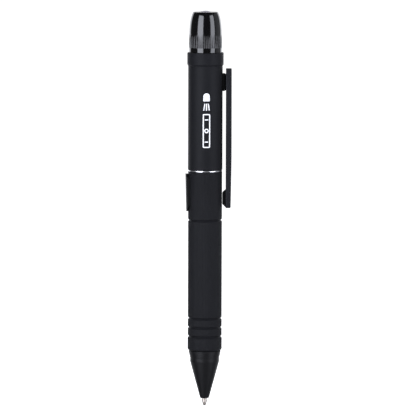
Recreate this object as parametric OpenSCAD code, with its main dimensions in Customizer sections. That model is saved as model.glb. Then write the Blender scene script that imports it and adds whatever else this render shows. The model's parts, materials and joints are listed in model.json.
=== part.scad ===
// Ultraviolet note-checking pen: a ballpoint refill at the bottom, a side key
// in the middle and a lamp under a clear window at the top.
//
// Frame: the pen stands upright with the writing ball touching z = 0 and its
// axis on x = y = 0. The clip is on the +X side and the key on the -X side.
// Screw threads are plain cylinders at their mean diameter.

/* [Barrels] */
// Length of the lower barrel
lower_len = 68; // [67.5:0.1:72]
// Outside diameter of the lower barrel
lower_d = 12.84; // [12.7:0.02:13]
// Height of the bare metal ring between the two barrels
ring_h = 0.5; // [0.5:0.05:1]
// Length of the upper barrel
upper_len = 39.5; // [39.5:0.05:40]
// Outside diameter of the upper barrel
upper_d = 13.04; // [13:0.02:13.3]
// Height of the collar on top of the upper barrel
collar_h = 5; // [4.6:0.1:5]
// Outside diameter of the collar
collar_d = 13.74; // [13.6:0.02:14]
// Depth of the turned grooves in the lower barrel
groove_depth = 0.45; // [0.2:0.05:0.5]

/* [Nose cone] */
// How far the writing point stands out of the nose
point_reach = 2.9; // [2.5:0.1:3.4]
// Length of the nose, from its open end to the joint with the barrel
nose_len = 18.3; // [18:0.1:19]
// Diameter of the nose at its open end
nose_end_d = 3.3; // [2.9:0.02:3.4]
// Diameter of the plain band at the top of the long cone
nose_band_d = 11; // [10.6:0.02:11]
// Length of the thread that holds the nose
nose_thread = 4.5; // [3.5:0.1:5]

/* [Head] */
// Mean diameter of the thread under the head
head_thread_d = 11.5; // [11.4:0.02:11.55]
// Diameter of the head at its neck and over its flutes
flute_d = 12.4; // [12.2:0.02:12.6]
// Number of flutes
flute_count = 48; // [24:4:48]
// Diameter of a flute's cutter
flute_cut_d = 0.78; // [0.6:0.02:0.78]
// Depth of a flute
flute_depth = 0.24; // [0.18:0.02:0.3]
// Lean of the flutes' cutter, which sets where they run out
flute_lean = 1.9; // [1.5:0.1:2.5]
// Diameter of the clear window
window_d = 4.3; // [3.6:0.1:4.6]
// How far the window's dome stands out
window_rise = 0.45; // [0.2:0.05:0.6]

/* [Clip] */
// Width of the clip arm
arm_w = 5; // [4.4:0.1:6]
// Thickness of the clip arm
arm_t = 2.17; // [2.1:0.01:2.4]
// Gap between the upper barrel and the arm
arm_gap = 1.25; // [1.2:0.01:1.4]
// Width of the bracket that carries the arm
bracket_w = 4; // [3.6:0.1:4.4]
// Width of the rounded bump at the arm's free end
bump_w = 3.4; // [2.6:0.1:4]

/* [Key] */
// Length of the side key
key_len = 14.3; // [14:0.1:14.6]
// Width of the side key
key_w = 6; // [5.6:0.1:6.2]
// How far the key's upper end stands out of the barrel
key_rise = 1.05; // [0.9:0.05:1.2]
// How much lower the key's outer face is at its lower end
key_drop = 0.32; // [0.1:0.02:0.4]

/* [Cell and refill] */
// Diameter of the cell
cell_d = 10.5; // [10.4:0.05:10.5]
// Length of the cell's can
can_h = 43.6; // [43.4:0.1:43.7]
// Diameter of the writing ball
ball_d = 1; // [0.7:0.1:1]
// Diameter of the refill's tube
tube_d = 2.35; // [2.3:0.01:2.4]
// Length of the refill over all
refill_len = 67; // [66.5:0.1:67]

/* [Hidden] */
$fn = 96;
slip = 0.02;          // gap between pieces that are pressed or glued together
run = 0.04;           // radial gap of a running or threaded fit
gap = 0.1;            // gap between pieces that only lie side by side

// heights along the pen, from the ball upwards
nose_z = point_reach;
joint_z = nose_z + nose_len + gap;
ring_z = joint_z + lower_len;
upper_z = ring_z + ring_h;
collar_z = upper_z + upper_len;
neck_z = collar_z + collar_h;
flute_z = neck_z + 1.9;
head_top = neck_z + 15.3;

// radii
lower_r = lower_d / 2;
upper_r = upper_d / 2;
collar_r = collar_d / 2;
flute_r = flute_d / 2;
head_thread_r = head_thread_d / 2;
cell_r = cell_d / 2;
tube_r = tube_d / 2;
thread_r = 5;         // nose thread in the lower barrel
bore_r = 5.45;        // inside of the lower barrel
upper_bore_r = 5.75;  // inside of the upper barrel
cell_bore_r = 5.35;   // parts that the cell passes through

// lower barrel
band_z = joint_z + 4.9;
band_r = lower_r + 0.05;
groove_half = 0.5;
grooves = [joint_z + 5.3, joint_z + 8.75, joint_z + 12.2, ring_z - 18.5];
shoulder_z = joint_z + 5.2;

// key, its pin and its slot
key_top = ring_z - 0.9;
key_z = key_top - key_len;
key_round = 5.2;      // radius of the key's outer face
key_axis_x = -(lower_r + key_rise) + key_round;
key_inner_x = -4.9;
slot_gap = 0.15;
pin_x = -4.4;
pin_z = key_z + 1.4;
key_pin_r = 0.4;
lug_r = 0.85;
lug_w = 2.8;
press_z = ring_z - 5; // height of the switch
nub_end_x = -4.6;

// switch
carrier_z = ring_z - 20.4;
carrier_top = ring_z - 1;
carrier_r = bore_r - gap;
spigot_r = bore_r - slip;
spigot_in_r = 4.9;
spigot_z = ring_z - 4.5;
board_x = -0.6;
board_t = 0.8;
switch_w = 4.5;
switch_d = 2;
plunger_r = 0.9;

// cell
cell_z = ring_z + 0.7;
cap_r = 1.9;
cap_h = 0.9;
can_top = cell_z + can_h;
cell_top = can_top + cap_h;

// refill
ball_r = ball_d / 2;
needle_r = 0.9;
step_z = nose_z + 1.35;
tip_top = 11;
seat_r = 1.9;
refill_top = refill_len - 1;
spring_z = refill_len;
spring_top = carrier_z + 4.7;

// clip
arm_x = upper_r + arm_gap;
arm_out = arm_x + arm_t;
arm_z = ring_z - 13.8;
arm_top = collar_z - 1.1;
bracket_z = collar_z - 9.5;
bracket_h = 6.6;
bracket_x = arm_x - 0.32;
clip_x = arm_x + 0.68;
clip_z = bracket_z + 3.3;
clip_pin_r = 0.5;
pocket_w = 2.8;
pocket_x = arm_out - 0.58;
ear_t = 0.55;
bump_x = lower_r + 0.08;
rivet_r = 0.5;
rivet_z = [bracket_z + 1.1, bracket_z + 5.5];

// head
head_thread = 3.6;
spigot_bottom = neck_z - head_thread;
lamp_bore_r = 4.9;
lamp_z = cell_top + 2.2;
board_z = cell_top + 3;
led_z = board_z + 2.4;
led_r = 2.5;
led_flange_r = 2.9;
window_r = window_d / 2;
window_z = head_top - 0.75;

// ---- shared shapes ----

// solid round bar from z0 to z1
module bar(r, z0, z1) { translate([0, 0, z0]) cylinder(h = z1 - z0, r = r); }

// round tube from z0 to z1
module tube(r, hole, z0, z1) {
    difference() {
        bar(r, z0, z1);
        bar(hole, z0 - 1, z1 + 1);
    }
}

// solid turned from an outline of [radius, height] points
module turned(outline) { rotate_extrude() polygon(outline); }

// block given by its lowest and highest corners
module block(low, high) { translate(low) cube(high - low); }

// round bar along Y, centred on x and z
module cross_bar(r, x, z, y0, y1) {
    translate([x, y1, z]) rotate([90, 0, 0]) cylinder(h = y1 - y0, r = r);
}

// round bar along X, on y = 0
module side_bar(r, z, x0, x1) {
    translate([x0, 0, z]) rotate([0, 90, 0]) cylinder(h = x1 - x0, r = r);
}

// plate with round ends, standing along Z and reaching from x0 to x1
module round_ended(w, z0, z1, x0, x1) {
    side_bar(w / 2, z0 + w / 2, x0, x1);
    side_bar(w / 2, z1 - w / 2, x0, x1);
    block([x0, -w / 2, z0 + w / 2], [x1, w / 2, z1 - w / 2]);
}

// quarter arc of [radius, height] points, centred on c, from angle a to angle b
function arc(c, r, a, b, n = 8) =
    [for (i = [0:n]) let (t = a + (b - a) * i / n) [c[0] + r * cos(t), c[1] + r * sin(t)]];

// round wire of radius r along a path that winds about Z
module wire(path, r) {
    sides = 6;
    last = len(path) - 1;
    points = [for (i = [0:last], k = [0:sides - 1])
        let (d = path[min(i + 1, last)] - path[max(i - 1, 0)],
             n = [d[1], -d[0], 0] / norm([d[0], d[1]]),
             t = 360 * k / sides)
        path[i] + r * cos(t) * n + [0, 0, r * sin(t)]];
    walls = [for (i = [0:last - 1], k = [0:sides - 1])
        let (a = i * sides, n = (k + 1) % sides)
        [a + k, a + sides + k, a + sides + n, a + n]];
    start = [for (k = [0:sides - 1]) k];
    end = [for (k = [sides - 1:-1:0]) last * sides + k];
    polyhedron(points, concat([start], walls, [end]), convexity = 8);
}

// path of a compression spring with flat end turns; its radius runs from r0 to r1
function coil(r0, r1, z0, z1, turns, per_turn = 16) =
    [for (i = [0:turns * per_turn])
        let (t = i / per_turn, part = t / turns, r = r0 + (r1 - r0) * part,
             rise = t < 1 ? 0 : t > turns - 1 ? 1 : (t - 1) / (turns - 2))
        [r * cos(360 * t), r * sin(360 * t), z0 + (z1 - z0) * rise]];

// ---- refill and nose ----

module writing_ball() {
    color("silver") translate([0, 0, ball_r]) sphere(r = ball_r);
}

// nickel-silver point: the lip closes round the ball, the tail plugs the tube
module refill_tip() {
    lip_z = 0.6 * ball_r;
    tail_r = tube_r - 0.31;
    color("lightgray") difference() {
        turned([[0, lip_z], [ball_r + 0.05, lip_z], [needle_r, 1.6], [needle_r, step_z + slip],
                [tube_r, step_z + slip], [tube_r, tip_top], [tail_r, tip_top],
                [tail_r, tip_top + 2.5], [0, tip_top + 2.5]]);
        translate([0, 0, ball_r]) sphere(r = ball_r + slip);
        bar(ball_r / 2, ball_r, tip_top + 3);
    }
}

module refill_tube() {
    color("dimgray") tube(tube_r, tube_r - 0.3, tip_top + slip, refill_top);
}

// plug in the tube's open end, with a flange that the spring pushes on
module refill_seat() {
    plug_r = tube_r - 0.31;
    color("white") turned([[0, refill_top - 2.5], [plug_r, refill_top - 2.5],
        [plug_r, refill_top + slip], [seat_r, refill_top + slip],
        [seat_r, spring_z - slip], [1.1, spring_z - slip], [1.1, spring_z + 1.2],
        [0, spring_z + 1.2]]);
}

module refill_spring() {
    thick = 0.15;
    color("silver") wire(coil(1.55, 1.55, spring_z + thick, spring_top - thick, 7), thick);
}

module nose_cone() {
    end_r = nose_end_d / 2;
    soft = 0.45;
    cone_z = nose_z + nose_len - 4.3;
    band_top = cone_z + 1.4;
    shoulder_top = nose_z + nose_len;
    bore = tube_r + 0.08;
    band = nose_band_d / 2;
    color("#26272b") turned(concat(
        [[needle_r + 0.05, nose_z]],
        arc([end_r - soft, nose_z + soft], soft, -90, 0),
        [[band - 0.04, cone_z], [band, cone_z + 0.05], [band, band_top],
         [lower_r - 0.29, shoulder_top], [thread_r - run, shoulder_top],
         [thread_r - run, shoulder_top + nose_thread], [4.1, shoulder_top + nose_thread],
         [3.7, shoulder_top + nose_thread - 0.4], [3.7, nose_z + 12.6], [bore, nose_z + 6],
         [bore, step_z], [needle_r + 0.05, step_z]]));
}

// moulded sleeve that centres the refill and houses its spring
module refill_guide() {
    low = shoulder_z + gap;
    top = carrier_z - gap;
    housing_z = top - 8;
    color("#3a3a3e") difference() {
        bar(bore_r - gap, low, top);
        bar(tube_r + 0.2, low - 1, housing_z + 1);
        bar(seat_r + 0.3, housing_z, top + 1);
        // open ring between the outer wall and the refill's tube, from below
        tube(bore_r - gap - 0.9, tube_r + 1, low - 1, housing_z - 1);
    }
}

// ---- lower barrel, key and switch ----

module lower_barrel() {
    soft = 1;
    outline = concat(
        [[thread_r, joint_z]],
        arc([band_r - soft, joint_z + soft], soft, -90, 0),
        [[band_r, band_z - 0.05], [lower_r, band_z]],
        [for (g = grooves) each [[lower_r, g - groove_half],
            [lower_r - groove_depth, g], [lower_r, g + groove_half]]],
        [[lower_r, ring_z], [bore_r, ring_z], [bore_r, shoulder_z], [thread_r, shoulder_z]]);
    color("#2b2c30") difference() {
        turned(outline);
        round_ended(key_w + 2 * slot_gap, key_z - slot_gap, key_top + slot_gap, -10, -3);
    }
}

// rocking key: hinged at its lower end, with a nub that pushes the switch
module side_key() {
    lean = atan(key_drop / key_len);
    color("#2b2c30") difference() {
        union() {
            intersection() {
                round_ended(key_w, key_z, key_top, -10, key_inner_x);
                translate([key_axis_x, 0, key_top]) rotate([0, -lean, 0])
                    translate([0, 0, -20]) cylinder(h = 24, r = key_round);
            }
            side_bar(plunger_r, press_z, key_inner_x - 0.5, nub_end_x);
            cross_bar(lug_r, pin_x, pin_z, -lug_w / 2, lug_w / 2);
            block([key_inner_x - 0.5, -lug_w / 2, pin_z - lug_r],
                  [pin_x, lug_w / 2, pin_z + lug_r]);
            // stop that keeps the upper end inside the slot
            block([-bore_r + 0.25, -1.1, key_top - 1], [key_inner_x + 0.3, 1.1, key_top + 0.35]);
        }
        cross_bar(key_pin_r + run, pin_x, pin_z, -lug_w, lug_w);
    }
}

module key_pin() {
    color("silver") cross_bar(key_pin_r, pin_x, pin_z, -2.6, 2.6);
}

// moulded carrier that holds the switch, its board and the battery spring
module switch_carrier() {
    ear_x = -4.75;
    ear_y = lug_w / 2 + gap;
    room_x = -4;
    color("#1d1e20") difference() {
        union() {
            difference() {
                union() {
                    bar(carrier_r, carrier_z, spigot_z - gap);
                    bar(spigot_in_r - 0.05, carrier_z, carrier_top);
                }
                // room for the key and its travel
                block([-7, -3.4, key_z - 0.5], [room_x, 3.4, ring_z]);
            }
            for (side = [-1, 1]) scale([1, side, 1])
                block([ear_x, ear_y, pin_z - 1], [room_x + 0.1, 2.6, pin_z + 1]);
        }
        // room for the switch and its board
        block([-7, -3.5, pin_z + 1.6], [board_x, 3.5, carrier_top - 1]);
        // the key's hinge lug swings here
        block([-7, -ear_y, pin_z - 1.6], [pin_x + 1.6, ear_y, pin_z + 1.7]);
        // seat of the refill's spring
        bar(seat_r + 0.3, carrier_z - 1, spring_top);
        cross_bar(key_pin_r, pin_x, pin_z, -2.7, 2.7);
        // channel of the ground contact
        block([-0.85, 4.2, spigot_z + 0.2], [0.85, 6, carrier_top - 0.4]);
    }
}

module switch_board() {
    color("darkgreen")
        block([board_x - board_t, -3.4, pin_z + 1.8], [board_x - slip, 3.4, carrier_top - 1.2]);
}

module switch_body() {
    half = switch_w / 2;
    back = board_x - board_t - slip;
    color("#101010") difference() {
        block([back - switch_d, -half, press_z - half], [back, half, press_z + half]);
        side_bar(plunger_r + run, press_z, back - switch_d - 1, back - 0.7);
    }
}

module switch_plunger() {
    color("#c8b48a") side_bar(plunger_r, press_z, nub_end_x + 0.05, -2.55);
}

// nickel-plated leaf that joins the board's ground to the coupler
module ground_contact() {
    color("silver") {
        difference() {
            union() {
                block([-0.7, 4.22, spigot_z + 0.3], [0.7, 4.5, carrier_top - 0.5]);
                translate([-0.7, 4.5, spigot_z + 2]) rotate([0, 90, 0])
                    cylinder(h = 1.4, r = 0.34);
            }
            block([-1, 3, spigot_z + 1], [1, 4.22, spigot_z + 3]);
        }
    }
}

module battery_spring() {
    thick = 0.2;
    low = carrier_top + slip + thick;
    color("silver") wire(coil(3.5, 1.6, low, cell_z - slip - thick, 4), thick);
}

// metal sleeve that joins the barrels; its flange shows as a bright ring
module coupler() {
    edge = 0.1;
    foot_z = ring_z - slip;
    color("silver") difference() {
        turned([[spigot_in_r, spigot_z], [spigot_r, spigot_z], [spigot_r, ring_z + slip],
                [lower_r - edge, ring_z + slip], [lower_r, ring_z + slip + edge],
                [lower_r, upper_z - slip - edge], [lower_r - edge, upper_z - slip],
                [upper_bore_r - slip, upper_z - slip], [upper_bore_r - slip, upper_z + 6.2],
                [cell_bore_r, upper_z + 6.2], [cell_bore_r, foot_z], [spigot_in_r, foot_z]]);
        // window for the key
        block([-7, -3.6, spigot_z - 1], [-3, 3.6, ring_z - 0.3]);
    }
}

// ---- cell ----

module cell_can() {
    color("#b9bcc0") turned(concat(
        [[0, cell_z]],
        arc([cell_r - 0.4, cell_z + 0.4], 0.4, -90, 0),
        arc([cell_r - 0.4, can_top - 0.4], 0.4, 0, 90),
        [[0, can_top]]));
}

module cell_cap() {
    color("silver") turned(concat(
        [[0, can_top + slip], [cap_r, can_top + slip]],
        arc([cap_r - 0.25, cell_top - 0.25], 0.25, 0, 90),
        [[0, cell_top]]));
}

// ---- upper barrel, collar and clip ----

module upper_barrel() {
    soft = 0.4;
    color("#2b2c30") difference() {
        turned(concat([[upper_bore_r, upper_z]],
            arc([upper_r - soft, upper_z + soft], soft, -90, 0),
            [[upper_r, collar_z], [upper_bore_r, collar_z]]));
        for (z = rivet_z) side_bar(rivet_r, z, 3, 8);
    }
}

// collar: pressed into the upper barrel, and threaded inside for the head
module collar() {
    edge = 0.3;
    foot = collar_z + slip;
    floor_z = spigot_bottom - 0.5;
    color("#2b2c30") turned([[cell_bore_r, collar_z - 2.5],
        [upper_bore_r - slip, collar_z - 2.5], [upper_bore_r - slip, foot],
        [collar_r - edge, foot], [collar_r, foot + 0.5], [collar_r, neck_z - edge],
        [collar_r - edge, neck_z], [head_thread_r + run, neck_z],
        [head_thread_r + run, floor_z],
        [cell_bore_r, floor_z]]);
}

// bracket: a saddle on the barrel, with two cheeks that hold the pin inside the clip
module clip_bracket() {
    ear_y = pocket_w / 2 - 0.08;
    ear_r = 0.72;
    cheek_out = 0.7;
    cheek_half = 3.1;
    half = bracket_w / 2;
    color("#0d0d0e") difference() {
        union() {
            difference() {
                block([5, -half, bracket_z], [bracket_x, half, bracket_z + bracket_h]);
                bar(upper_r + slip, bracket_z - 1, bracket_z + bracket_h + 1);
            }
            for (side = [-1, 1]) scale([1, side, 1]) {
                cross_bar(ear_r, clip_x, clip_z, ear_y - ear_t, ear_y);
                block([bracket_x - 0.2, ear_y - ear_t, clip_z - ear_r],
                      [clip_x, ear_y, clip_z + ear_r]);
                block([bracket_x - 0.2, ear_y - ear_t, clip_z - cheek_half],
                      [bracket_x + cheek_out, ear_y, clip_z + cheek_half]);
            }
        }
        cross_bar(clip_pin_r + run, clip_x, clip_z, -2, 2);
        for (z = rivet_z) {
            side_bar(rivet_r, z, 3, bracket_x + 1);
            side_bar(rivet_r + 0.3, z, bracket_x - 0.25, bracket_x + 1);
        }
    }
}

// two rivets through the barrel's wall, flush in the bracket
module clip_rivets() {
    wall_x = upper_bore_r - 0.09;
    color("silver") for (z = rivet_z) {
        side_bar(rivet_r - 0.01, z, wall_x - 0.1, bracket_x - 0.1);
        side_bar(rivet_r + 0.28, z, bracket_x - 0.23, bracket_x - 0.02);
        side_bar(rivet_r + 0.35, z, wall_x - 0.25, wall_x);
    }
}

module clip_pin() {
    color("silver") cross_bar(clip_pin_r, clip_x, clip_z, -1.75, arm_w / 2 - 0.02);
}

// hairpin spring round the pin; its legs push the arm's short end outwards
module clip_spring() {
    thick = 0.12;
    r = 0.7;
    turns = 3.5;
    per_turn = 14;
    width = 1 - 2 * thick;
    turned_part = [for (i = [0:turns * per_turn]) let (t = i / per_turn)
        [r * cos(360 * t), -r * sin(360 * t), width * t / turns]];
    path = concat([[r, 3.3, 0], [r, 1.6, 0]], turned_part,
                  [[-r, 1.6, width], [-r, 2.7, width]]);
    color("silver") translate([clip_x, width / 2, clip_z]) rotate([90, 0, 0])
        wire(path, thick);
}

module clip_arm() {
    half = arm_w / 2;
    foot = arm_z;
    profile = concat(
        [[arm_out, arm_top], [arm_x, arm_top], [arm_x, foot + 6.7]],
        arc([bump_x + 2.2, foot + 4.6], 2.2, 130, 180, 5),
        [[bump_x, foot + 1.5], [arm_x - 0.15, foot + 0.3], [arm_x + 0.3, foot],
         [arm_out - 0.38, foot], [arm_out - 0.26, foot + 0.3], [arm_out + 0.04, foot + 19.5]]);
    color("#2b2c30") difference() {
        union() {
            translate([0, half, 0]) rotate([90, 0, 0]) linear_extrude(arm_w)
                intersection() {
                    polygon(profile);
                    translate([arm_x, arm_z]) square([arm_t + 1, arm_top - arm_z]);
                }
            translate([0, bump_w / 2, 0]) rotate([90, 0, 0]) linear_extrude(bump_w)
                polygon(profile);
        }
        // pocket that takes the bracket's ears and the spring
        block([arm_x - 1, -pocket_w / 2, clip_z - 4.2],
              [pocket_x, pocket_w / 2, arm_top - 1]);
        cross_bar(clip_pin_r + 0.01, clip_x, clip_z, -1.8, half + 1);
    }
}

// ---- head and lamp ----

// radius of the head's bullet outline at a height above its flutes' foot
function head_r(h) = flute_r * pow(1 - pow(h / 15, 3), 1 / 4.4);

module head_shell() {
    height = head_top - flute_z;
    soft = 0.06;
    bore = cell_bore_r - 0.04;
    throat = 3.4;
    steps = 10;
    crown = [for (i = [0:steps]) let (h = height * sin(90 * i / steps)) [head_r(h), flute_z + h]];
    color("#101013") difference() {
        turned(concat(
            [[bore, spigot_bottom], [head_thread_r, spigot_bottom],
             [head_thread_r, neck_z + slip], [flute_r - soft, neck_z + slip],
             [flute_r, neck_z + slip + soft]],
            crown,
            [[window_r + slip, head_top], [window_r + slip, window_z],
             [led_r + 0.12, window_z], [led_r + 0.12, window_z - 2.9],
             [throat, window_z - 2.9], [throat, led_z + 1.4], [lamp_bore_r, led_z + 1.4],
             [lamp_bore_r, lamp_z], [bore, lamp_z]]));
        for (i = [0:flute_count - 1]) rotate(360 * (i + 0.5) / flute_count)
            translate([flute_r + flute_cut_d / 2 - flute_depth, 0, flute_z - 0.1])
                rotate([0, flute_lean, 0]) cylinder(h = 8, d = flute_cut_d, $fn = 24);
    }
}

// clear window, put in from inside, with a shallow dome that stands out
module window() {
    dome_r = (pow(window_r, 2) + pow(window_rise, 2)) / (2 * window_rise);
    edge = asin(window_r / dome_r);
    color("#b9b3c4") turned(concat(
        [[0, window_z - 0.55], [led_r + 0.06, window_z - 0.55], [led_r + 0.06, window_z - slip],
         [window_r, window_z - slip]],
        arc([0, head_top + window_rise - dome_r], dome_r, 90 - edge, 90, 6)));
}

module uv_led() {
    neck = led_z + 5.9;
    color("#a8a0c8") {
        turned(concat(
            [[0, led_z], [led_flange_r, led_z], [led_flange_r, led_z + 1], [led_r, led_z + 1]],
            arc([0, neck], led_r, 0, 90, 12)));
    }
}

module led_leads() {
    color("silver") for (side = [-1, 1]) translate([0, side * 1.27, 0])
        bar(0.25, board_z - 0.3, led_z);
}

module led_holder() {
    foot = board_z + 1.2;
    color("white") difference() {
        bar(lamp_bore_r - 0.05, foot, led_z + 1.35);
        bar(led_flange_r + 0.05, led_z, led_z + 2);
        for (side = [-1, 1]) translate([0, side * 1.27, 0]) bar(0.4, foot - 1, led_z + 1);
    }
}

module driver_board() {
    color("darkgreen") difference() {
        bar(lamp_bore_r - 0.1, board_z, board_z + 1);
        for (side = [-1, 1]) translate([0, side * 1.27, 0])
            bar(0.27, board_z - 1, board_z + 2);
    }
}

// coil, chip and two capacitors under the board
module driver_parts() {
    under = board_z - slip;
    color("#202020") {
        block([-3.9, -1, under - 0.75], [-1.9, 1, under]);
        block([2, -0.8, under - 0.7], [3.6, 0.8, under]);
        for (side = [-1, 1]) scale([1, side, 1])
            block([1.2, 2, under - 0.5], [2.2, 2.5, under]);
    }
}

module positive_contact() {
    color("gold") turned([[0, cell_top + gap / 2], [1.5, cell_top + gap / 2],
        [1.5, cell_top + 0.6], [0.8, cell_top + 0.6], [0.8, board_z - slip],
        [0, board_z - slip]]);
}

writing_ball();
refill_tip();
refill_tube();
refill_seat();
refill_spring();
nose_cone();
refill_guide();
lower_barrel();
side_key();
key_pin();
switch_carrier();
switch_board();
switch_body();
switch_plunger();
ground_contact();
battery_spring();
coupler();
cell_can();
cell_cap();
upper_barrel();
clip_bracket();
clip_rivets();
clip_pin();
clip_spring();
clip_arm();
collar();
head_shell();
window();
uv_led();
led_leads();
led_holder();
driver_board();
driver_parts();
positive_contact();
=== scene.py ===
# %% [markdown]
# # A note-checking pen, piece by piece
# The pen's moving frame was made first and is loaded here as it is. Every visible piece is then
# modelled again with its real edges, ribs, flutes and threads, and laid exactly over its plain
# twin in the frame, so that it moves with the same body. Lengths are in metres; MM turns
# millimetres into metres.

# %% The frame
import json
import math
from math import cos, pi, radians, sin

import bpy
from mathutils import Matrix, Vector


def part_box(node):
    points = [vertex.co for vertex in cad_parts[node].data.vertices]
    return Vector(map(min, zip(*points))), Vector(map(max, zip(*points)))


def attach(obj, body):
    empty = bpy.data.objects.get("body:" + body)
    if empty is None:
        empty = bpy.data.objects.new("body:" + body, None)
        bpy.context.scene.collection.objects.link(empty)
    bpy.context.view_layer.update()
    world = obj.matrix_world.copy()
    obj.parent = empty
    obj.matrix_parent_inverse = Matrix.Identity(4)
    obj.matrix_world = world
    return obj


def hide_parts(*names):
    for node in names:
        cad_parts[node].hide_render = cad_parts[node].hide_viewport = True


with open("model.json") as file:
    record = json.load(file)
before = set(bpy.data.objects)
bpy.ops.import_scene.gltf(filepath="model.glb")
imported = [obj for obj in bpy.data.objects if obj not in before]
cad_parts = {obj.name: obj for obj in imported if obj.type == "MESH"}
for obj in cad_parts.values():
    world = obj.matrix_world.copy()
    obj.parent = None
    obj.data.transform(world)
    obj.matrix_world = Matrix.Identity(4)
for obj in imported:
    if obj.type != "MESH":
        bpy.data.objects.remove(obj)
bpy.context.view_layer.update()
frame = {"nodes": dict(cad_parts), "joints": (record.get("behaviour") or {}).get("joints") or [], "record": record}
MM = 0.001

# %% [markdown]
# ## Heights and radii
# The frame already says where everything is, so the driving sizes are read from its boxes.
# Only finer things, such as an edge's radius or a rib's depth, are new numbers.

# %% Driving sizes
def low(node):
    return Vector(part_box(node)[0]) / MM


def high(node):
    return Vector(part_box(node)[1]) / MM


MOUNTS = {m["name"]: m for m in frame["record"]["mounts"]}
JOINTS = {j["name"]: j for j in frame["joints"]}
BARREL_R = MOUNTS["pen_loop"]["dims"]["r_mm"]
JOINT_Z = low("lower_barrel").z
RING_Z = high("lower_barrel").z
UPPER_Z = low("upper_barrel").z
COLLAR_Z = high("upper_barrel").z
NECK_Z = high("collar").z
NOSE_Z = low("nose_cone").z
HEAD_TOP = high("head_shell").z
UPPER_R = high("upper_barrel").x
COLLAR_R = high("collar").x
BAND_R = high("lower_barrel").x
HEAD_R = high("head_shell").x
TIP_R = 0.9
SLIP = 0.02  # the gap between pieces that are pressed together or sit on each other
print("barrels from", JOINT_Z, "to", COLLAR_Z, "mm, head to", HEAD_TOP, "mm")

# %% [markdown]
# ## Drawing and turning
# Most of a pen is turned on a lathe, so most pieces start as an outline in the plane y = 0: one
# vertex that is extruded from corner to corner. Spin then sweeps it round the axis. A corner may
# have a radius, because no real edge is perfectly sharp, and that small round is what catches
# the light.

# %% Outlines with soft corners
def softened(corners, segments=4):
    """Corners are (x, z) or (x, z, radius); a radius becomes a short arc of points."""
    points = []
    for i, corner in enumerate(corners):
        here = Vector(corner[:2])
        radius = corner[2] if len(corner) > 2 else 0
        if not radius:
            points.append(here)
            continue
        back = Vector(corners[i - 1][:2]) - here
        on = Vector(corners[(i + 1) % len(corners)][:2]) - here
        half = back.angle(on) / 2
        reach = min(radius / math.tan(half), 0.49 * back.length, 0.49 * on.length)
        start = here + back.normalized() * reach
        end = here + on.normalized() * reach
        centre = here + (back.normalized() + on.normalized()).normalized() * (reach / cos(half))
        first, last = (start - centre).normalized(), (end - centre).normalized()
        for k in range(segments + 1):
            points.append(centre + first.slerp(last, k / segments) * reach * math.tan(half))
    return points


def draw(name, points, closed, y=0.0):
    """A polyline in the plane y, made by extruding one vertex from point to point."""
    bpy.ops.object.select_all(action="DESELECT")
    bpy.ops.mesh.primitive_plane_add(size=MM)
    piece = bpy.context.object
    piece.name = name
    bpy.ops.object.mode_set(mode="EDIT")
    bpy.ops.mesh.select_mode(type="VERT")
    bpy.ops.mesh.select_all(action="SELECT")
    bpy.ops.mesh.merge(type="CENTER")
    places = [Vector((p[0], y, p[1])) * MM for p in points]
    bpy.ops.transform.translate(value=places[0])
    for before, after in zip(places, places[1:]):
        bpy.ops.mesh.extrude_region_move(TRANSFORM_OT_translate={"value": after - before})
    if closed:
        last = len(places) - 1
        pick(piece, lambda co, i: i in (0, last))
        bpy.ops.mesh.edge_face_add()
    bpy.ops.mesh.select_all(action="SELECT")
    return piece


def pick(piece, wanted):
    """Selects the vertices for which wanted(place in mm, index) is true, and stays in edit mode."""
    bpy.ops.object.mode_set(mode="EDIT")
    bpy.ops.mesh.select_mode(type="VERT")
    bpy.ops.mesh.select_all(action="DESELECT")
    bpy.ops.object.mode_set(mode="OBJECT")
    for i, vertex in enumerate(piece.data.vertices):
        vertex.select = bool(wanted(vertex.co / MM, i))
    bpy.ops.object.mode_set(mode="EDIT")


def tidy(piece):
    """Joins doubles, turns every face outwards and returns to object mode."""
    bpy.ops.object.mode_set(mode="EDIT")
    bpy.ops.mesh.select_all(action="SELECT")
    bpy.ops.mesh.remove_doubles(threshold=0.001 * MM)
    bpy.ops.mesh.normals_make_consistent(inside=False)
    bpy.ops.object.mode_set(mode="OBJECT")


def turned(name, corners, steps=128, closed=True):
    """A lathe piece: the outline's first and last points lie on the axis unless it is closed."""
    piece = draw(name, softened(corners), closed)
    bpy.ops.mesh.spin(steps=steps, angle=2 * pi, center=(0, 0, 0), axis=(0, 0, 1))
    tidy(piece)
    return piece


def plate(name, corners, y0, y1, segments=4):
    """A flat outline in x and z, filled and extruded from y0 to y1."""
    piece = draw(name, softened(corners, segments), True, y0)
    bpy.ops.mesh.edge_face_add()
    bpy.ops.mesh.extrude_region_move(TRANSFORM_OT_translate={"value": (0, (y1 - y0) * MM, 0)})
    tidy(piece)
    return piece


# %% [markdown]
# ## Cutting, rounding and finishing
# A slot or a row of flutes is cut with a second solid, as a cutter cuts the real part, and a
# Bevel modifier rounds the edges that are left. Modifiers are applied at once, so that the piece
# is only a mesh when it is done.

# %% Modifiers
def apply(piece, kind, **settings):
    bpy.ops.object.select_all(action="DESELECT")
    bpy.context.view_layer.objects.active = piece
    piece.select_set(True)
    step = piece.modifiers.new(kind.lower(), kind)
    for key, value in settings.items():
        setattr(step, key, value)
    bpy.ops.object.modifier_apply(modifier=step.name)


def combine(piece, other, operation):
    """Adds, cuts or keeps what is common, then removes the second solid."""
    apply(piece, "BOOLEAN", operation=operation, object=other, solver="EXACT")
    mesh = other.data
    bpy.data.objects.remove(other)
    bpy.data.meshes.remove(mesh)


def soften_edges(piece, width, segments=3, angle=35):
    apply(piece, "BEVEL", width=width * MM, segments=segments, limit_method="ANGLE",
          angle_limit=radians(angle), harden_normals=False)


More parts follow.
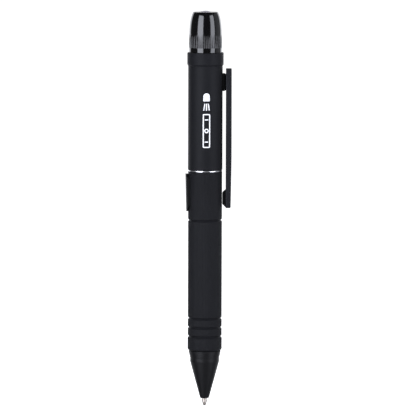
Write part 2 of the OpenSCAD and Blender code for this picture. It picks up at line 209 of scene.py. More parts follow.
def finish(piece, finish_material, body, slot, *nodes, smooth=32):
    """Shades the piece, gives it its finish, and lets it stand for its twin in the frame."""
    bpy.ops.object.select_all(action="DESELECT")
    bpy.context.view_layer.objects.active = piece
    piece.select_set(True)
    bpy.ops.object.shade_smooth_by_angle(angle=radians(smooth))
    piece.data.materials.clear()
    piece.data.materials.append(finish_material)
    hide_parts(*nodes)
    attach(piece, body)
    size = [round(d / MM, 2) for d in piece.dimensions]
    print(piece.name, size, "mm,", len(piece.data.polygons), "faces")


def bar_along(axis, r, centre, length, vertices=64):
    """A round cutter or pad along X, Y or Z, in millimetres."""
    turn = {"X": (0, pi / 2, 0), "Y": (pi / 2, 0, 0), "Z": (0, 0, 0)}[axis]
    bpy.ops.object.select_all(action="DESELECT")
    bpy.ops.mesh.primitive_cylinder_add(vertices=vertices, radius=r * MM, depth=length * MM,
                                        location=Vector(centre) * MM, rotation=turn)
    bar = bpy.context.object
    bpy.ops.object.transform_apply(location=True, rotation=True, scale=True)
    return bar


def block(low_corner, high_corner):
    """A square cutter between two corners, in millimetres."""
    a, b = Vector(low_corner), Vector(high_corner)
    bpy.ops.object.select_all(action="DESELECT")
    bpy.ops.mesh.primitive_cube_add(size=1, location=(a + b) / 2 * MM, scale=(b - a) * MM)
    bpy.ops.object.transform_apply(location=True, rotation=True, scale=True)
    return bpy.context.object


# %% [markdown]
# ## Shader arithmetic
# A finish is mostly arithmetic on noise. Wrapping a socket in a small class lets that arithmetic
# be written as an ordinary expression; each operator adds one Math node.

# %% Sockets as numbers
class Wire:
    """The output of a node, used as a number."""

    def __init__(self, shop, socket):
        self.shop = shop
        self.socket = socket

    def math(self, operation, other, swap=False):
        pair = (other, self) if swap else (self, other)
        return self.shop.node("ShaderNodeMath", {"operation": operation}, {0: pair[0], 1: pair[1]})

    def __add__(self, other):
        return self.math("ADD", other)

    def __sub__(self, other):
        return self.math("SUBTRACT", other)

    def __rsub__(self, other):
        return self.math("SUBTRACT", other, swap=True)

    def __mul__(self, other):
        return self.math("MULTIPLY", other)

    def __gt__(self, other):
        return self.math("GREATER_THAN", other)

    __radd__ = __add__
    __rmul__ = __mul__


class Shop:
    """One material: its Principled shader and a short way to add nodes to it."""

    def __init__(self, name, **constants):
        self.material = bpy.data.materials.new(name)
        self.material.use_nodes = True
        self.tree = self.material.node_tree
        self.shader = self.tree.nodes["Principled BSDF"]
        for key, value in constants.items():
            self.shader.inputs[key.replace("_", " ")].default_value = value

    def node(self, kind, settings=None, inputs=None, output=0):
        made = self.tree.nodes.new(kind)
        for key, value in (settings or {}).items():
            setattr(made, key, value)
        for key, value in (inputs or {}).items():
            if isinstance(value, Wire):
                self.tree.links.new(value.socket, made.inputs[key])
            else:
                made.inputs[key].default_value = value
        return Wire(self, made.outputs[output])

    def place(self, stretch=(1, 1, 1)):
        """Object coordinates in metres, stretched along each axis."""
        where = self.node("ShaderNodeTexCoord", output="Object")
        return self.node("ShaderNodeMapping", {}, {"Vector": where, "Scale": stretch})

    def noise(self, scale, detail=3.0, stretch=(1, 1, 1), roughness=0.55):
        return self.node("ShaderNodeTexNoise", {}, {"Vector": self.place(stretch), "Scale": scale,
                         "Detail": detail, "Roughness": roughness})

    def blend(self, amount, dark, light):
        return self.node("ShaderNodeMix", {"data_type": "RGBA"},
                         {"Factor": amount, "A": (*dark, 1), "B": (*light, 1)}, output="Result")

    def feed(self, name, wire):
        self.tree.links.new(wire.socket, self.shader.inputs[name])

    def bump(self, height, strength, distance):
        normal = self.node("ShaderNodeBump", {}, {"Height": height, "Strength": strength,
                           "Distance": distance * MM})
        self.feed("Normal", normal)


# %% [markdown]
# ## Soft-touch lacquer
# Both barrels and the clip wear a rubbery black lacquer. It could be one dark, rough colour, but
# the real film has a fine orange-peel grain, a little cloudiness, and a soft sheen where light
# grazes it. Noise at three scales gives the grain, the cloud and the handling marks.

# %% Soft-touch finish
def lacquer(name, dark, light, rough, grain=0.012, sheen=0.02, gloss=0.16):
    shop = Shop(name, Specular_IOR_Level=gloss, Sheen_Weight=sheen, Sheen_Roughness=0.45)
    cloud = shop.noise(420, detail=4)
    speck = shop.noise(9000, detail=2)
    rubbed = shop.noise(150, detail=5, stretch=(1, 1, 0.35), roughness=0.7)
    shop.feed("Base Color", shop.blend(cloud * 0.6 + speck * 0.4, dark, light))
    shop.feed("Roughness", rough - 0.05 + cloud * 0.06 + rubbed * 0.05)
    shop.bump(speck * 0.7 + cloud * 0.3, 0.35, grain)
    return shop.material


SOFT_TOUCH = lacquer("soft_touch", (0.0044, 0.0047, 0.0064), (0.0072, 0.0076, 0.0100), 0.58)
RIBBED = lacquer("soft_touch_ribbed", (0.0044, 0.0047, 0.0063), (0.0068, 0.0072, 0.0094), 0.58)
CLIP_BLACK = lacquer("clip_lacquer", (0.0076, 0.0080, 0.0104), (0.0108, 0.0113, 0.0144), 0.46,
                     grain=0.006)
# The saddle and the clip's bump get a near-black far darker than the arm's lacquer. This is painted shade for the
# recess they sit in, behind the arm's sides.
RECESS_SHADE_BLACK = lacquer("bracket_painted_shade", (0.0006, 0.0006, 0.0008), (0.0012, 0.0012, 0.0015),
                        0.5, grain=0.006, sheen=0.0, gloss=0.08)
KEY_BLACK = lacquer("key_plastic", (0.0012, 0.0013, 0.0017), (0.0024, 0.0025, 0.0031), 0.42,
                    grain=0.008, sheen=0.0)

# %% [markdown]
# ## Gloss and satin blacks
# The head is polished black with a hard clear film over it; polishing leaves hairlines that run
# round the turned surface. The nose cone is left as it came off the lathe and dyed, so it is a
# satin black with faint turning marks.

# %% Gloss and satin finishes
def gloss_black():
    shop = Shop("gloss_black", Specular_IOR_Level=0.5, Coat_Weight=0.35, Coat_Roughness=0.03)
    hairline = shop.noise(160, detail=6, stretch=(1, 1, 28), roughness=0.75)
    haze = shop.noise(700, detail=3)
    shop.feed("Base Color", shop.blend(haze, (0.0006, 0.0006, 0.0009), (0.0013, 0.0013, 0.0018)))
    shop.feed("Roughness", 0.075 + hairline * 0.05 + haze * 0.03)
    shop.bump(hairline, 0.05, 0.002)
    return shop.material


def satin_black():
    shop = Shop("satin_black", Specular_IOR_Level=0.18)
    turning = shop.noise(260, detail=5, stretch=(1, 1, 22), roughness=0.7)
    grain = shop.noise(6500, detail=2)
    mottle = turning * 0.5 + grain * 0.5
    shop.feed("Base Color", shop.blend(mottle, (0.0042, 0.0042, 0.0050), (0.0066, 0.0066, 0.0078)))
    shop.feed("Roughness", 0.42 + turning * 0.08 + grain * 0.05)
    shop.bump(turning * 0.6 + grain * 0.4, 0.22, 0.006)
    return shop.material


GLOSS_BLACK = gloss_black()
SATIN_BLACK = satin_black()

# %% [markdown]
# ## Metals
# Bare metal shows how it was made: a turned ring has lines round it, drawn wire has lines along
# it, a stamped can is mottled. One function makes them all; the stretch of its noise says which
# way the lines run.

# %% Metal finishes
def metal(name, dark, light, rough, stretch=(1, 1, 30), line_scale=200, depth=0.003):
    shop = Shop(name, Metallic=1.0)
    lines = shop.noise(line_scale, detail=6, stretch=stretch, roughness=0.75)
    tarnish = shop.noise(650, detail=4)
    shop.feed("Base Color", shop.blend(tarnish * 0.6 + lines * 0.4, dark, light))
    shop.feed("Roughness", rough - 0.05 + lines * 0.10 + tarnish * 0.06)
    shop.bump(lines, 0.15, depth)
    return shop.material


BRIGHT_RING = metal("bright_ring", (0.72, 0.72, 0.74), (0.88, 0.88, 0.90), 0.28)
NICKEL_SILVER = metal("nickel_silver", (0.50, 0.45, 0.405), (0.66, 0.605, 0.55), 0.44)
HARD_BALL = metal("hard_ball", (0.42, 0.42, 0.44), (0.62, 0.62, 0.64), 0.16, stretch=(1, 1, 1))
DRAWN_WIRE = metal("drawn_wire", (0.50, 0.50, 0.52), (0.72, 0.72, 0.74), 0.28, stretch=(1, 1, 1),
                   line_scale=2500)
CAN_STEEL = metal("can_steel", (0.42, 0.43, 0.45), (0.60, 0.61, 0.63), 0.34, stretch=(1, 1, 0.2))
GOLD_PLATE = metal("gold_plate", (0.70, 0.47, 0.16), (0.90, 0.66, 0.30), 0.22)
PLUNGER_BRASS = metal("plunger_brass", (0.55, 0.44, 0.24), (0.74, 0.62, 0.38), 0.30)

# %% [markdown]
# ## Plastics, board and clear parts
# Moulded plastic has a light bead-blasted grain. A circuit board has a green film over woven
# glass, so its weave shows as a faint square pattern. The window and the lamp are clear resin
# with a lilac cast, from the dye that holds back visible light.

# %% Plastic, board and clear finishes
def moulded(name, dark, light, rough):
    shop = Shop(name, Specular_IOR_Level=0.45)
    grain = shop.noise(5200, detail=2)
    flow = shop.noise(300, detail=3)
    shop.feed("Base Color", shop.blend(grain * 0.5 + flow * 0.5, dark, light))
    shop.feed("Roughness", rough + grain * 0.10)
    shop.bump(grain, 0.25, 0.008)
    return shop.material


def circuit_board():
    shop = Shop("circuit_board", Specular_IOR_Level=0.5)
    where = shop.place()
    warp = shop.node("ShaderNodeTexWave", {"bands_direction": "Z"},
                     {"Vector": where, "Scale": 320.0, "Distortion": 0.6})
    weft = shop.node("ShaderNodeTexWave", {"bands_direction": "Y"},
                     {"Vector": where, "Scale": 320.0, "Distortion": 0.6})
    weave = warp * 0.5 + weft * 0.5
    copper = shop.noise(380, detail=1) > 0.56
    shade = weave * 0.35 + copper * 0.5
    shop.feed("Base Color", shop.blend(shade, (0.008, 0.060, 0.024), (0.030, 0.170, 0.070)))
    shop.feed("Roughness", 0.30 + weave * 0.08)
    shop.bump(weave * 0.3 + copper * 0.7, 0.3, 0.02)
    return shop.material


def clear(name, dark, light, through, rough):
    shop = Shop(name, Transmission_Weight=through, IOR=1.49)
    cloud = shop.noise(520, detail=3)
    shop.feed("Base Color", shop.blend(cloud, dark, light))
    shop.feed("Roughness", rough + cloud * 0.05)
    shop.bump(cloud, 0.05, 0.01)
    return shop.material


INNER_PLASTIC = moulded("inner_plastic", (0.020, 0.020, 0.022), (0.034, 0.034, 0.037), 0.48)
WHITE_PLASTIC = moulded("white_plastic", (0.62, 0.62, 0.60), (0.76, 0.76, 0.74), 0.42)
CHIP_BLACK = moulded("chip_black", (0.012, 0.012, 0.013), (0.026, 0.026, 0.027), 0.38)
WHITE_INK = moulded("white_ink", (0.66, 0.67, 0.70), (0.84, 0.85, 0.88), 0.50)
BOARD_GREEN = circuit_board()
WINDOW_CLEAR = clear("window_clear", (0.50, 0.47, 0.56), (0.66, 0.62, 0.72), 0.35, 0.10)
LAMP_CLEAR = clear("lamp_clear", (0.46, 0.42, 0.62), (0.60, 0.56, 0.76), 0.70, 0.08)
print(len(bpy.data.materials), "finishes")

# %% [markdown]
# ## Lower barrel
# A turned tube with a slightly proud, rounded foot, three grip grooves near the nose and a single
# one below the key. Its whole wall is drawn into fine ribs that stop just short of the ring. The
# ribs could be a bump in the finish, but they are real, and they show in the outline of the edge.
# So each rib has six meridians: two are pulled in to the root, and their neighbours part of the
# way. The slot is cut with a plug of the key's own outline, a little larger all round.

# %% Ribbed barrel with its key slot
RIBS = 72
RIB_DEPTH = 0.07
RIB_STEPS = 6
ROOTS = {3: 1.0, 4: 1.0, 2: 0.45, 5: 0.45}  # meridian of a rib: its share of the depth
GROOVE_DEPTH = 0.45
GROOVE_HALF = 0.5
KEY_W = high("side_key").y - low("side_key").y
KEY_LEN = 14.3
KEY_TOP = RING_Z - 0.9
KEY_Z = KEY_TOP - KEY_LEN
SLOT_GAP = 0.15


def round_ended(w, z0, z1, x0, x1):
    """A plate with round ends that faces X: drawn facing Y, then turned a quarter."""
    half = w / 2
    plug = plate("plug", [(-half, z0, half), (half, z0, half), (half, z1, half),
                          (-half, z1, half)], -x1, -x0, segments=14)
    bpy.ops.object.select_all(action="DESELECT")
    plug.select_set(True)
    plug.rotation_euler = (0, 0, pi / 2)
    bpy.ops.object.transform_apply(rotation=True)
    return plug


def grooved(r, depth, half, places):
    """V grooves with a small round at their lips, as outline corners."""
    return [c for z in places for c in
            ((r, z - half, 0.12), (r - depth, z, 0.10), (r, z + half, 0.12))]


def make_lower_barrel():
    bore, thread, foot, band_z = 5.45, 5.0, JOINT_Z + 5.2, JOINT_Z + 4.6
    grooves = [JOINT_Z + 5.3, JOINT_Z + 8.75, JOINT_Z + 12.2, RING_Z - 18.5]
    rib_end = RING_Z - 0.7
    corners = [(thread, JOINT_Z, 0.1), (BAND_R, JOINT_Z, 1.0), (BAND_R, band_z),
               (BARREL_R, band_z + 0.06)]
    corners += grooved(BARREL_R, GROOVE_DEPTH, GROOVE_HALF, grooves)
    corners += [(BARREL_R, rib_end - 0.1), (BARREL_R, rib_end), (BARREL_R, RING_Z, 0.1),
                (bore, RING_Z), (bore, foot), (thread, foot)]
    barrel = turned("ribbed_barrel", corners, RIBS * RIB_STEPS)
    step = 2 * pi / (RIBS * RIB_STEPS)
    for offset, share in ROOTS.items():
        def in_root(co, i):
            k = round(math.atan2(co.y, co.x) / step) % RIB_STEPS
            outside = math.hypot(co.x, co.y) > BARREL_R - 0.06
            return outside and k == offset and co.z < rib_end - 0.05
        pick(barrel, in_root)
        shrink = 1 - share * RIB_DEPTH / BARREL_R
        bpy.ops.transform.resize(value=(shrink, shrink, 1), center_override=(0, 0, 0))
    bpy.ops.object.mode_set(mode="OBJECT")
    slot = round_ended(KEY_W + 2 * SLOT_GAP, KEY_Z - SLOT_GAP, KEY_TOP + SLOT_GAP, -10, -3)
    combine(barrel, slot, "DIFFERENCE")
    finish(barrel, RIBBED, "barrel", "soft_touch", "lower_barrel")


make_lower_barrel()

# %% [markdown]
# ## Upper barrel, collar and ring
# The upper barrel is a plain tube, rounded at its foot so that it meets the bare ring in a dark
# line. The ring is the flange of the sleeve inside, which joins both barrels. The collar on top
# has a chamfer below, a softer edge above, and a thread inside for the head.

# %% Plain turned pieces
BRACKET_Z = low("clip_bracket").z
RIVET_R = 0.5
RIVETS = (BRACKET_Z + 1.1, BRACKET_Z + 5.5)
SPIGOT_Z = low("head_shell").z
HEAD_PITCH = 0.5


def threaded(r, depth, start, end, pitch):
    """The ridges of a screw thread, as outline corners from start to end."""
    count = int(abs(end - start) / pitch)
    way = pitch if end > start else -pitch
    return [c for k in range(count) for c in
            ((r, start + k * way), (r - depth, start + (k + 0.5) * way))]


def make_upper_barrel():
    bore = 5.75
    sleeve = turned("upper_sleeve", [(bore, UPPER_Z), (UPPER_R, UPPER_Z, 0.4),
                    (UPPER_R, COLLAR_Z, 0.05), (bore, COLLAR_Z)], 192)
    for z in RIVETS:
        combine(sleeve, bar_along("X", RIVET_R, (6, 0, z), 4, 32), "DIFFERENCE")
    finish(sleeve, SOFT_TOUCH, "barrel", "soft_touch", "upper_barrel")


def make_collar():
    bore, press, thread = 5.35, 5.73, 5.79
    foot = COLLAR_Z + SLIP
    sleeve_z = COLLAR_Z - 2.5
    floor = SPIGOT_Z - 0.5
    corners = [(bore, sleeve_z), (press, sleeve_z, 0.1), (press, foot),
               (COLLAR_R - 0.3, foot, 0.08), (COLLAR_R, foot + 0.5, 0.25),
               (COLLAR_R, NECK_Z, 0.3), (thread, NECK_Z, 0.12)]
    corners += threaded(thread, -0.16, NECK_Z - 0.5, floor + 0.2, HEAD_PITCH)
    corners += [(thread, floor), (bore, floor)]
    finish(turned("collar_ring", corners, 192), SOFT_TOUCH, "barrel", "soft_touch", "collar")


def make_coupler():
    inner, press, cell_bore, upper = 4.9, 5.43, 5.35, 5.73
    foot, top, step = RING_Z + SLIP, UPPER_Z - SLIP, RING_Z - SLIP
    lower_end, upper_end = RING_Z - 4.5, UPPER_Z + 6.2
    corners = [(inner, lower_end), (press, lower_end, 0.1), (press, foot),
               (BARREL_R, foot, 0.12), (BARREL_R, top, 0.12), (upper, top),
               (upper, upper_end, 0.1), (cell_bore, upper_end, 0.1),
               (cell_bore, step), (inner, step)]
    ring = turned("bright_ring", corners, 192)
    combine(ring, block((-7, -3.6, RING_Z - 6), (-3, 3.6, RING_Z - 0.3)), "DIFFERENCE")
    finish(ring, BRIGHT_RING, "barrel", "bright_metal", "coupler")


make_upper_barrel()
make_collar()
make_coupler()

# %% [markdown]
# ## Printed sign
# A white sign is printed down the front of the upper barrel. It stands for what the pen does: a
# lamp's dome, three rays, and a banknote. The sign could be a mask in the finish, but ink has a
# thickness, so flat shapes are cut out of a very thin sleeve that lies on the barrel.

# %% Lamp, rays and banknote in white ink
def upright(name, x0, x1, z0, z1, radius):
    return plate(name, [(x0, z0, radius), (x1, z0, radius), (x1, z1, radius), (x0, z1, radius)],
                 -8, -4)


def make_sign():
    mid, line, ink = 0.45, 0.42, 0.02
    note_w, note_z, note_top = 2.8, 98.6, 111.4
    ray_z, ray_top, dome_z, dome_top = 112.7, 115.3, 116.2, 119.2
    half, dome_half, seal_r = note_w / 2, 1.2, 0.85
    sign = upright("printed_sign", mid - half, mid + half, note_z, note_top, 0.5)
    hollow = upright("hollow", mid - half + line, mid + half - line, note_z + line,
                     note_top - line, 0.2)
    combine(sign, hollow, "DIFFERENCE")
    centre = (mid, -6, (note_z + note_top) / 2)
    seal = bar_along("Y", seal_r, centre, 4, 48)
    combine(seal, bar_along("Y", seal_r - line, centre, 5, 48), "DIFFERENCE")
    combine(sign, seal, "UNION")
    for z in (note_z + 2.0, note_top - 2.0 - line):
        combine(sign, upright("stroke", mid - 0.7, mid + 0.7, z, z + line, 0.15), "UNION")
    for spread in (-1.05, 0, 1.05):
        ray = plate("ray", [(mid + spread - line / 2, ray_z), (mid + spread + line / 2, ray_z),
                            (mid + spread * 0.6 + line / 2, ray_top),
                            (mid + spread * 0.6 - line / 2, ray_top)], -8, -4)
        combine(sign, ray, "UNION")
    left, right = mid - dome_half, mid + dome_half
    dome = plate("dome", [(left, dome_z, 0.2), (right, dome_z, 0.2),
                          (right, dome_top, 1.1), (left, dome_top, 1.1)], -8, -4, segments=12)
    combine(sign, dome, "UNION")
    sleeve = turned("ink_sleeve", [(UPPER_R - 0.04, 97), (UPPER_R + ink, 97),
                    (UPPER_R + ink, 121), (UPPER_R - 0.04, 121)], 192)
    combine(sign, sleeve, "INTERSECT")
    finish(sign, WHITE_INK, "barrel", "white_plastic", "upper_barrel")


make_sign()

# %% [markdown]
# ## Head
# The head is a bullet with forty-eight flutes, which give the fingers a grip to unscrew it. The
# outline is a superellipse, so it rises almost straight from its shoulder and closes quickly near
# the top. Each flute is cut by one round cutter. The cutter leans out a little and the bullet closes
# in, so the cut runs out by itself in a point.

# %% Fluted head
CELL_TOP = high("cell_cap").z
HEAD_THREAD_R = 5.75
WINDOW_R = 2.15
FLUTES = 48
FLUTE_Z = NECK_Z + 1.9
FLUTE_DEPTH = 0.24
FLUTE_CUT_R = 0.39
FLUTE_LEAN = radians(1.9)


def head_r(h):
    """The bullet's radius at a height above the foot of its flutes."""
    return HEAD_R * (1 - (h / 15) ** 3) ** (1 / 4.4)


def make_head():
    window_z, led_z, lamp_z = high("window").z - 1.2, low("uv_led").z, CELL_TOP + 2.2
    bore, lamp_bore, throat, led_bore = 5.31, 4.9, 3.4, 2.62
    throat_top, throat_z = window_z - 2.9, led_z + 1.4
    window_gap = WINDOW_R + SLIP
    height = HEAD_TOP - FLUTE_Z
    crown = [(head_r(h), FLUTE_Z + h) for h in
             (height * sin(radians(a)) for a in range(8, 88, 4))]
    corners = [(bore, SPIGOT_Z, 0.05)]
    corners += threaded(5.74, 0.14, SPIGOT_Z + 0.15, NECK_Z - 0.3, HEAD_PITCH)
    corners += [(HEAD_THREAD_R, NECK_Z + SLIP), (HEAD_R, NECK_Z + SLIP, 0.08),
                (HEAD_R, FLUTE_Z)]
    corners += crown
    corners += [(head_r(height), HEAD_TOP, 0.12), (window_gap, HEAD_TOP, 0.1),
                (window_gap, window_z), (led_bore, window_z), (led_bore, throat_top),
                (throat, throat_top), (throat, throat_z), (lamp_bore, throat_z),
                (lamp_bore, lamp_z), (bore, lamp_z)]
    head = turned("fluted_head", corners, 192)
    cutter_x, cutter_z, cutter_len = HEAD_R - FLUTE_DEPTH + FLUTE_CUT_R, FLUTE_Z - 0.1, 8
    cutter = bar_along("Z", FLUTE_CUT_R, (cutter_x, 0, cutter_z + cutter_len / 2), cutter_len, 32)
    pivot = Vector((cutter_x, 0, cutter_z)) * MM
    cutter.matrix_world = (Matrix.Translation(pivot) @ Matrix.Rotation(FLUTE_LEAN, 4, "Y")
                           @ Matrix.Translation(-pivot))
    bpy.ops.object.transform_apply(location=True, rotation=True, scale=True)
    turn = 2 * pi / FLUTES
    bpy.ops.object.mode_set(mode="EDIT")
    bpy.ops.mesh.select_all(action="SELECT")
    bpy.ops.mesh.spin(steps=FLUTES - 1, dupli=True, angle=turn * (FLUTES - 1),
                      center=(0, 0, 0), axis=(0, 0, 1))
    bpy.ops.mesh.select_all(action="SELECT")
    bpy.ops.transform.rotate(value=turn / 2, orient_axis="Z", center_override=(0, 0, 0))
    bpy.ops.object.mode_set(mode="OBJECT")
    combine(head, cutter, "DIFFERENCE")
    finish(head, GLOSS_BLACK, "head", "gloss_black", "head_shell", smooth=28)


def make_window():
    top, flange_z = high("window").z, low("window").z
    window_z = top - 1.2
    r, rise = WINDOW_R, top - HEAD_TOP
    dome_r = (r * r + rise * rise) / (2 * rise)
    edge = math.asin(r / dome_r)
    dome = [(dome_r * sin(a), top - dome_r + dome_r * cos(a)) for a in
            (edge * (1 - k / 8) for k in range(9))]
    corners = [(0, flange_z), (2.56, flange_z, 0.08), (2.56, window_z - SLIP, 0.05),
               (r, window_z - SLIP)] + dome
    finish(turned("lamp_window", corners, 96, closed=False), WINDOW_CLEAR, "head",
           "window_clear", "window")


make_head()
make_window()

# %% [markdown]
# ## Nose and point
# The nose is one long cone with a plain band and a shorter cone above it, and a thread that goes
# up into the barrel. The refill's point stands out of it: a thin nickel-silver needle, stepped,
# whose lip is closed round the ball.

# %% Nose cone and refill point
def make_nose():
    bore, mouth, spigot = 1.255, TIP_R + 0.05, 4.96
    end_r, cone_r, band_r, shoulder_r = 1.65, 5.46, 5.50, 6.13
    cone_z, band_z, shoulder_z = NOSE_Z + 14, NOSE_Z + 15.4, NOSE_Z + 18.3
    top = high("nose_cone").z
    corners = [(mouth, NOSE_Z, 0.06), (end_r, NOSE_Z, 0.42), (cone_r, cone_z, 0.08),
               (band_r, cone_z + 0.12, 0.05), (band_r, band_z, 0.10),
               (shoulder_r, shoulder_z, 0.30), (spigot, shoulder_z)]
    corners += threaded(spigot, 0.2, shoulder_z + 0.4, top - 0.2, 0.75)
    corners += [(spigot - 0.1, top, 0.08), (4.1, top), (3.7, top - 0.4), (3.7, NOSE_Z + 12.6),
                (bore, NOSE_Z + 6), (bore, NOSE_Z + 1.35), (mouth, NOSE_Z + 1.35)]
    finish(turned("nose_cone_shell", corners, 192), SATIN_BLACK, "nose", "satin_black",
           "nose_cone")


def make_point():
    ball, socket, tail, tube = 0.5, 0.52, 0.865, 1.175
    step, shank, top = NOSE_Z + 1.37, 11.0, 13.5
    arc = [(socket * cos(a), ball + socket * sin(a)) for a in
           (radians(60 - 82 * k / 8) for k in range(9))]
    corners = arc + [(0.55, 0.3, 0.03), (0.72, 0.95, 0.02), (TIP_R, 1.55, 0.06),
                     (TIP_R, 2.0, 0.03), (TIP_R - 0.05, 2.05), (TIP_R - 0.05, 2.15),
                     (TIP_R, 2.2, 0.03), (TIP_R, step), (tube, step, 0.05),
                     (tube, shank), (tail, shank), (tail, top), (0.26, top)]
    finish(turned("writing_point", corners, 96), NICKEL_SILVER, "refill", "nickel_silver",
           "refill_tip")


make_nose()
make_point()

# %% [markdown]
# ## Clip
# A thick, straight arm on a short saddle. It is drawn from the side and extruded to its width;
# the bump that presses on the cloth is a narrower pad, coloured near-black as painted shade for
# the recess it sits in, so it is a second plate that moves with the arm. The arm is hollow behind
# the saddle, where its pin and hairpin spring are.

# %% Clip arm and saddle
def make_clip():
    gap, thickness = 1.25, 2.17
    arm_x = UPPER_R + gap
    arm_out = arm_x + thickness
    foot, top = low("clip_arm").z, high("clip_arm").z
    bump_x = low("clip_arm").x
    pivot = Vector(JOINTS["clip_swing"]["pos_m"]) / MM
    arm = plate("clip_arm_cast", [(arm_x, foot, 0.25), (arm_out - 0.38, foot, 0.2),
                (arm_out - 0.24, foot + 0.5), (arm_out + 0.04, foot + 19.5),
                (arm_out, top, 0.3), (arm_x, top, 0.2)], -2.5, 2.5)
    bump = plate("clip_bump", [(arm_x + 0.1, foot + 6.9), (arm_x, foot + 6.9),
                 (bump_x, foot + 5.8, 1.2), (bump_x, foot + 3.4, 1.0),
                 (bump_x, foot + 1.5, 0.5), (arm_x - 0.1, foot + 0.3, 0.2),
                 (arm_x + 0.1, foot + 0.3)], -1.7, 1.7, segments=8)
    soften_edges(arm, 0.28)
    soften_edges(bump, 0.15)
    combine(arm, block((arm_x - 1, -1.4, pivot.z - 4.2), (arm_out - 0.58, 1.4, top - 1)),
            "DIFFERENCE")
    combine(arm, bar_along("Y", 0.51, (pivot.x, 0.85, pivot.z), 5.3, 48), "DIFFERENCE")
    finish(arm, CLIP_BLACK, "clip", "clip_black", "clip_arm")
    # The bump takes the saddle's near-black, painted shade for its recess behind the arm.
    finish(bump, RECESS_SHADE_BLACK, "clip", "clip_black", "clip_arm")


def make_bracket():
    lowest, highest = low("clip_bracket"), high("clip_bracket")
    pivot = Vector(JOINTS["clip_swing"]["pos_m"]) / MM
    face = UPPER_R + 0.93
    half = highest.y
    saddle = plate("clip_saddle", [(5.2, lowest.z), (face, lowest.z, 0.35),
                   (face, highest.z, 0.35), (5.2, highest.z)], -half, half)
    soften_edges(saddle, 0.2)
    for side in (-1, 1):
        inner, outer = sorted((side * 0.77, side * 1.32))
        ear = plate("ear", [(face - 0.2, pivot.z - 3.1), (face + 0.7, pivot.z - 3.1, 0.3),
                    (face + 0.7, pivot.z - 0.72), (pivot.x + 0.72, pivot.z - 0.72, 0.7),
                    (pivot.x + 0.72, pivot.z + 0.72, 0.7), (face + 0.7, pivot.z + 0.72),
                    (face + 0.7, pivot.z + 3.1, 0.3), (face - 0.2, pivot.z + 3.1)],
                    inner, outer, segments=8)
        combine(saddle, ear, "UNION")
    combine(saddle, bar_along("Y", 0.54, pivot, 4, 48), "DIFFERENCE")
    combine(saddle, bar_along("Z", UPPER_R + SLIP, (0, 0, pivot.z), 12, 192), "DIFFERENCE")
    for z in RIVETS:
        combine(saddle, bar_along("X", RIVET_R, (6, 0, z), 4, 32), "DIFFERENCE")
        combine(saddle, bar_along("X", 0.8, (face + 0.75, 0, z), 2, 48), "DIFFERENCE")
    # The saddle is coloured near-black as painted shade for the recess between the barrel and the arm.
    finish(saddle, RECESS_SHADE_BLACK, "barrel", "bracket_black", "clip_bracket")


make_clip()
make_bracket()

# %% [markdown]
# ## Side key
# The key is long, with round ends and a crowned face that stands higher at its upper end. It is
# the common part of a round-ended plate and a leaning round bar, with its rim rounded. Behind it
# are the hinge lug, the nub that meets the switch and the stop that keeps it in the slot.

# %% Side key
def make_key():
    rise, drop, crown_r, inner_x = 1.05, 0.32, 5.2, -4.9
    lean = math.atan(drop / KEY_LEN)
    pivot = Vector(JOINTS["key_press"]["pos_m"]) / MM
    key = round_ended(KEY_W, KEY_Z, KEY_TOP, -10, inner_x)
    key.name = "thumb_key"
    axis_x = -(BARREL_R + rise) + crown_r
    bpy.ops.object.select_all(action="DESELECT")
    bpy.ops.mesh.primitive_cylinder_add(vertices=256, radius=crown_r * MM, depth=30 * MM,
        location=Vector((axis_x + drop / 2, 0, (KEY_Z + KEY_TOP) / 2)) * MM,
        rotation=(0, -lean, 0))
    crown = bpy.context.object
    bpy.ops.object.transform_apply(location=True, rotation=True, scale=True)
    combine(key, crown, "INTERSECT")
    soften_edges(key, 0.4, segments=5, angle=40)
    press_z = RING_Z - 5
    for pad in (bar_along("X", 0.9, (inner_x - 0.1, 0, press_z), 0.8, 48),
                bar_along("Y", 0.85, pivot, 2.8, 48),
                block((inner_x - 0.5, -1.4, pivot.z - 0.85), (pivot.x, 1.4, pivot.z + 0.85)),
                block((-5.2, -1.1, KEY_TOP - 1), (inner_x + 0.3, 1.1, KEY_TOP + 0.35))):
        combine(key, pad, "UNION")
    combine(key, bar_along("Y", 0.44, pivot, 8, 48), "DIFFERENCE")
    finish(key, KEY_BLACK, "key", "key_black", "side_key")


make_key()

# %% [markdown]
# ## Inner pieces
# What is inside the pen keeps its shape from the frame, which is right as it is, and only gets
# its finish: springs and pins are drawn wire, the boards are green, the cell is a bare can.

# %% Finishes of the inner pieces
INNER = {
    DRAWN_WIRE: ["refill_spring", "battery_spring", "clip_spring", "key_pin", "clip_pin",
                 "clip_rivets", "ground_contact", "led_leads"],
    CAN_STEEL: ["cell_can", "cell_cap"],
    INNER_PLASTIC: ["refill_tube", "refill_guide", "switch_carrier"],
    WHITE_PLASTIC: ["refill_seat", "led_holder"],
    CHIP_BLACK: ["switch_body", "driver_parts"],
    BOARD_GREEN: ["switch_board", "driver_board"],
    PLUNGER_BRASS: ["switch_plunger"],
    GOLD_PLATE: ["positive_contact"],
    LAMP_CLEAR: ["uv_led"],
    HARD_BALL: ["writing_ball"],
}
for material, names in INNER.items():
    for name in names:
        node = frame["nodes"][name]
        node.data.materials.clear()
        node.data.materials.append(material)
print(sum(len(names) for names in INNER.values()), "inner pieces finished")

# %% [markdown]
# ## Studio
# A black object is shown by what it reflects. Two tall soft boxes stand in front, the wider one
# on the left, and a weak one fills the right side. Two more behind draw a bright rim along both
# sides, together with the white background. The room in front stays dim, and the floor is
# hidden from mirror rays, so the black stays black.

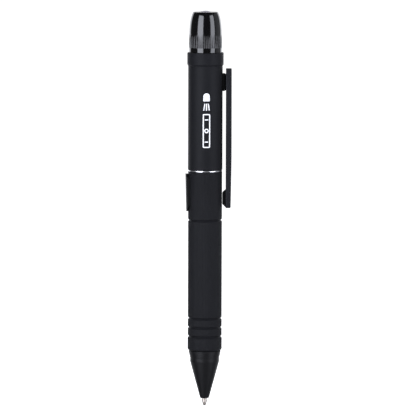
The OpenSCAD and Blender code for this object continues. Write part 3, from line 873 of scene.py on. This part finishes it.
# %% Floor, background and lights
def make_floor():
    bpy.ops.object.select_all(action="DESELECT")
    bpy.ops.mesh.primitive_plane_add(size=8)
    floor = bpy.context.object
    floor.name = "floor"
    bpy.ops.object.mode_set(mode="EDIT")
    bpy.ops.mesh.subdivide(number_cuts=3)
    bpy.ops.object.mode_set(mode="OBJECT")
    shop = Shop("floor_white", Specular_IOR_Level=0.0, Emission_Strength=0.95)
    tone = shop.noise(3, detail=2)
    shop.feed("Base Color", shop.blend(tone, (0.93, 0.93, 0.93), (0.95, 0.95, 0.95)))
    shop.feed("Roughness", 0.9 + tone * 0.05)
    shop.feed("Emission Color", shop.blend(tone, (0.96, 0.96, 0.97), (1.0, 1.0, 1.0)))
    floor.data.materials.append(shop.material)
    floor.location.z = -0.02 * MM
    floor.visible_glossy = False


def make_world():
    world = bpy.data.worlds.new("studio")
    bpy.context.scene.world = world
    world.use_nodes = True
    tree = world.node_tree
    tree.nodes.clear()

    def add(kind, **settings):
        made = tree.nodes.new(kind)
        for key, value in settings.items():
            setattr(made, key, value)
        return made

    where = add("ShaderNodeTexCoord")
    split = add("ShaderNodeSeparateXYZ")
    ramp = add("ShaderNodeValToRGB")
    seen = add("ShaderNodeLightPath")
    glow = add("ShaderNodeMix")
    light = add("ShaderNodeBackground")
    out = add("ShaderNodeOutputWorld")
    ramp.color_ramp.elements[0].position = 0.55
    ramp.color_ramp.elements[0].color = (0.10, 0.10, 0.10, 1)
    ramp.color_ramp.elements[1].position = 0.80
    ramp.color_ramp.elements[1].color = (1, 1, 1, 1)
    tree.links.new(where.outputs["Generated"], split.inputs[0])
    tree.links.new(split.outputs["Y"], ramp.inputs[0])
    tree.links.new(seen.outputs["Is Camera Ray"], glow.inputs["Factor"])
    tree.links.new(ramp.outputs["Color"], glow.inputs[2])
    glow.inputs[3].default_value = 1.0
    tree.links.new(glow.outputs[0], light.inputs["Strength"])
    tree.links.new(light.outputs[0], out.inputs["Surface"])


def soft_box(name, bearing, distance, width, height, power, lift=0.075):
    """A tall area light; bearing is degrees from the front, positive to the right."""
    lamp = bpy.data.lights.new(name, "AREA")
    lamp.shape = "RECTANGLE"
    lamp.size, lamp.size_y, lamp.energy = width, height, power
    lamp.color = (0.93, 0.96, 1.06)
    holder = bpy.data.objects.new(name, lamp)
    bpy.context.scene.collection.objects.link(holder)
    a = radians(bearing)
    holder.location = (distance * sin(a), -distance * cos(a), lift)
    aim = Vector((0, 0, lift)) - holder.location
    holder.rotation_euler = aim.to_track_quat("-Z", "Y").to_euler()


make_floor()
make_world()
soft_box("soft_box_left", -37.5, 0.9, 0.66, 1.3, 14.5)
soft_box("soft_box_right", 53, 0.9, 0.50, 1.3, 8.5)
soft_box("fill_right", 98, 0.9, 0.70, 1.3, 1)
soft_box("rim_left", -146, 0.9, 0.50, 1.3, 2.2)
soft_box("rim_right", 146, 0.9, 0.50, 1.3, 2.2)

# %% [markdown]
# ## Camera
# The pen is seen from the front and a little above, through a long lens, so that its sides stay
# parallel. The camera looks at the middle of the pen and is turned by a fraction of a
# degree, because the pen does not stand perfectly plumb.

# %% Camera
def make_camera():
    distance, elevation, roll = 2.0, radians(5), radians(0.17)
    target = Vector((1.12, 0, 75.3)) * MM
    view_w = 157.5 * MM
    lens = bpy.data.cameras.new("camera")
    lens.sensor_width = 36
    lens.lens = lens.sensor_width * distance / view_w
    lens.clip_start, lens.clip_end = 0.05, 50
    camera = bpy.data.objects.new("camera", lens)
    bpy.context.scene.collection.objects.link(camera)
    camera.location = target + Vector((0, -cos(elevation), sin(elevation))) * distance
    aim = (target - camera.location).to_track_quat("-Z", "Y").to_matrix().to_4x4()
    camera.matrix_world = (Matrix.Translation(camera.location) @ aim
                           @ Matrix.Rotation(roll, 4, "Z"))
    bpy.context.scene.camera = camera
    bpy.context.scene.view_settings.view_transform = "Standard"


make_camera()
